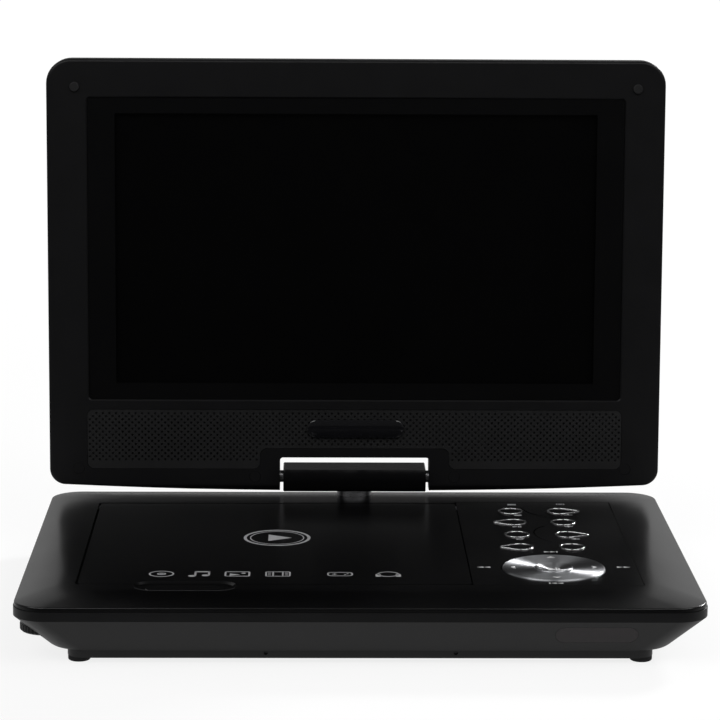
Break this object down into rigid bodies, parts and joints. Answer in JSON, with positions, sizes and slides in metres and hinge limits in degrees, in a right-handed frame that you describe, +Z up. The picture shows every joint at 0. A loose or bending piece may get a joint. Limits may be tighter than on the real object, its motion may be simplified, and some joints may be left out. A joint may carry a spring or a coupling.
{
  "type": "portable dvd player",
  "caption": "Portable disc player, black, with a folding screen that tilts and turns on a centre post, a flip-up disc lid and a control panel with a silver dial.",
  "frame": {"origin": "on the resting plane, under the centre of the base's outline", "axes": "+X to the user's right, +Y away from the user, +Z up"},
  "size_m": [0.252, 0.188, 0.2053],
  "materials": {
    "satin_black": "satin",
    "gloss_black": "gloss",
    "display_black": "gloss",
    "inner_plastic": "matte",
    "white_plastic": "matte",
    "board_green": "matte",
    "cell_wrap": "satin",
    "rubber_black": "matte",
    "bright_ring": "polished",
    "spun_silver": "spun",
    "steel": "brushed",
    "lens_glass": "clear"
  },
  "bodies": {
    "base": {"base_top_shell": "satin_black", "base_lower_housing": "satin_black", "rubber_feet": "rubber_black", "base_screws": "steel", "inner_screws": "steel", "disc_deck": "inner_plastic", "control_panel_plate": "satin_black", "key_rings": "bright_ring", "key_board": "board_green", "main_board": "board_green", "jack_board": "board_green", "battery_pack": "cell_wrap", "audio_jacks": "inner_plastic", "dc_inlet": "inner_plastic", "usb_socket": "steel", "card_slot": "steel", "ir_window": "gloss_black", "swivel_bearing": "steel", "catch_spring": "steel", "mech_chassis": "steel", "mech_dampers": "rubber_black", "spindle_motor": "steel", "guide_rods": "steel", "sled_motor": "steel", "lid_hinge_pins": "steel"},
    "lid": {"disc_lid": "satin_black"},
    "open_key": {"open_button": "satin_black"},
    "spindle": {"spindle_rotor": "inner_plastic"},
    "sled": {"pickup_sled": "inner_plastic"},
    "sled_screw": {"lead_screw": "steel"},
    "dial_ring": {"nav_pivot_ring": "white_plastic"},
    "dial": {"nav_disc": "spun_silver"},
    "ok_key": {"ok_button": "spun_silver"},
    "power_slider": {"power_knob": "satin_black"},
    "volume": {"volume_wheel": "satin_black"},
    "swivel": {"swivel_post": "steel", "tilt_axles": "steel", "hinge_block_lower": "satin_black", "hinge_block_upper": "satin_black"},
    "screen": {"screen_front_bezel": "satin_black", "screen_back_cover": "satin_black", "screen_screws": "steel", "display_surround": "gloss_black", "display_panel": "display_black", "backlight_frame": "white_plastic", "driver_board": "board_green", "speaker_grille": "satin_black", "speakers": "inner_plastic", "badge_plate": "gloss_black", "bezel_bumpers": "rubber_black", "bezel_plugs": "satin_black", "tilt_brackets": "steel"},
    "key_body_1": {"key_1": "satin_black"},
    "key_body_2": {"key_2": "satin_black"},
    "key_body_3": {"key_3": "satin_black"},
    "key_body_4": {"key_4": "satin_black"},
    "key_body_5": {"key_5": "satin_black"},
    "key_body_6": {"key_6": "satin_black"},
    "key_body_7": {"key_7": "satin_black"},
    "key_body_8": {"key_8": "satin_black"}
  },
  "joints": [
    {"name": "screen_swivel", "type": "hinge", "parent": "base", "child": "swivel", "pos_m": [0, 0.083, 0.025], "axis": [0, 0, 1], "range_deg": [-90, 180]},
    {"name": "screen_tilt", "type": "hinge", "parent": "swivel", "child": "screen", "pos_m": [0, 0.083, 0.0322], "axis": [1, 0, 0], "range_deg": [-88.25, 91.5]},
    {"name": "lid_hinge", "type": "hinge", "parent": "base", "child": "lid", "pos_m": [-0.0314, 0.0624, 0.0234], "axis": [-1, 0, 0], "range_deg": [0, 75], "deforming": ["catch_spring"]},
    {"name": "open_press", "type": "slide", "parent": "base", "child": "open_key", "axis": [0, 0, -1], "range_m": [0, 0.0012], "stiffness_N_per_m": 1500, "deforming": ["catch_spring"]},
    {"name": "spindle_spin", "type": "hinge", "parent": "base", "child": "spindle", "pos_m": [-0.0313, -0.0035, 0.018], "axis": [0, 0, 1], "continuous": true},
    {"name": "sled_slide", "type": "slide", "parent": "base", "child": "sled", "axis": [0, -1, 0], "range_m": [0, 0.0335]},
    {"name": "lead_screw_spin", "type": "hinge", "parent": "base", "child": "sled_screw", "pos_m": [-0.0041, -0.04, 0.0113], "axis": [0, 1, 0], "continuous": true},
    {"name": "dial_rock_x", "type": "hinge", "parent": "base", "child": "dial_ring", "pos_m": [0.0731, -0.043, 0.0218], "axis": [1, 0, 0], "range_deg": [-1, 1], "stiffness_Nm_per_rad": 0.03},
    {"name": "dial_rock_y", "type": "hinge", "parent": "dial_ring", "child": "dial", "pos_m": [0.0731, -0.043, 0.0218], "axis": [0, 1, 0], "range_deg": [-1, 1], "stiffness_Nm_per_rad": 0.03},
    {"name": "ok_press", "type": "slide", "parent": "base", "child": "ok_key", "axis": [0, 0, -1], "range_m": [0, 0.0004], "stiffness_N_per_m": 1500},
    {"name": "power_slide", "type": "slide", "parent": "base", "child": "power_slider", "axis": [0, 1, 0], "range_m": [0, 0.004]},
    {"name": "volume_turn", "type": "hinge", "parent": "base", "child": "volume", "pos_m": [-0.1144, -0.074, 0.0115], "axis": [0, 0, 1], "range_deg": [-135, 135]},
    {"name": "key_1_press", "type": "slide", "parent": "base", "child": "key_body_1", "axis": [0, 0, -1], "range_m": [0, 0.0004], "stiffness_N_per_m": 1500},
    {"name": "key_2_press", "type": "slide", "parent": "base", "child": "key_body_2", "axis": [0, 0, -1], "range_m": [0, 0.0004], "stiffness_N_per_m": 1500},
    {"name": "key_3_press", "type": "slide", "parent": "base", "child": "key_body_3", "axis": [0, 0, -1], "range_m": [0, 0.0004], "stiffness_N_per_m": 1500},
    {"name": "key_4_press", "type": "slide", "parent": "base", "child": "key_body_4", "axis": [0, 0, -1], "range_m": [0, 0.0004], "stiffness_N_per_m": 1500},
    {"name": "key_5_press", "type": "slide", "parent": "base", "child": "key_body_5", "axis": [0, 0, -1], "range_m": [0, 0.0004], "stiffness_N_per_m": 1500},
    {"name": "key_6_press", "type": "slide", "parent": "base", "child": "key_body_6", "axis": [0, 0, -1], "range_m": [0, 0.0004], "stiffness_N_per_m": 1500},
    {"name": "key_7_press", "type": "slide", "parent": "base", "child": "key_body_7", "axis": [0, 0, -1], "range_m": [0, 0.0004], "stiffness_N_per_m": 1500},
    {"name": "key_8_press", "type": "slide", "parent": "base", "child": "key_body_8", "axis": [0, 0, -1], "range_m": [0, 0.0004], "stiffness_N_per_m": 1500}
  ],
  "couplings": [
    {"joint": "lead_screw_spin", "follows": "sled_slide", "rad_per_m": 2094.4}
  ]
}
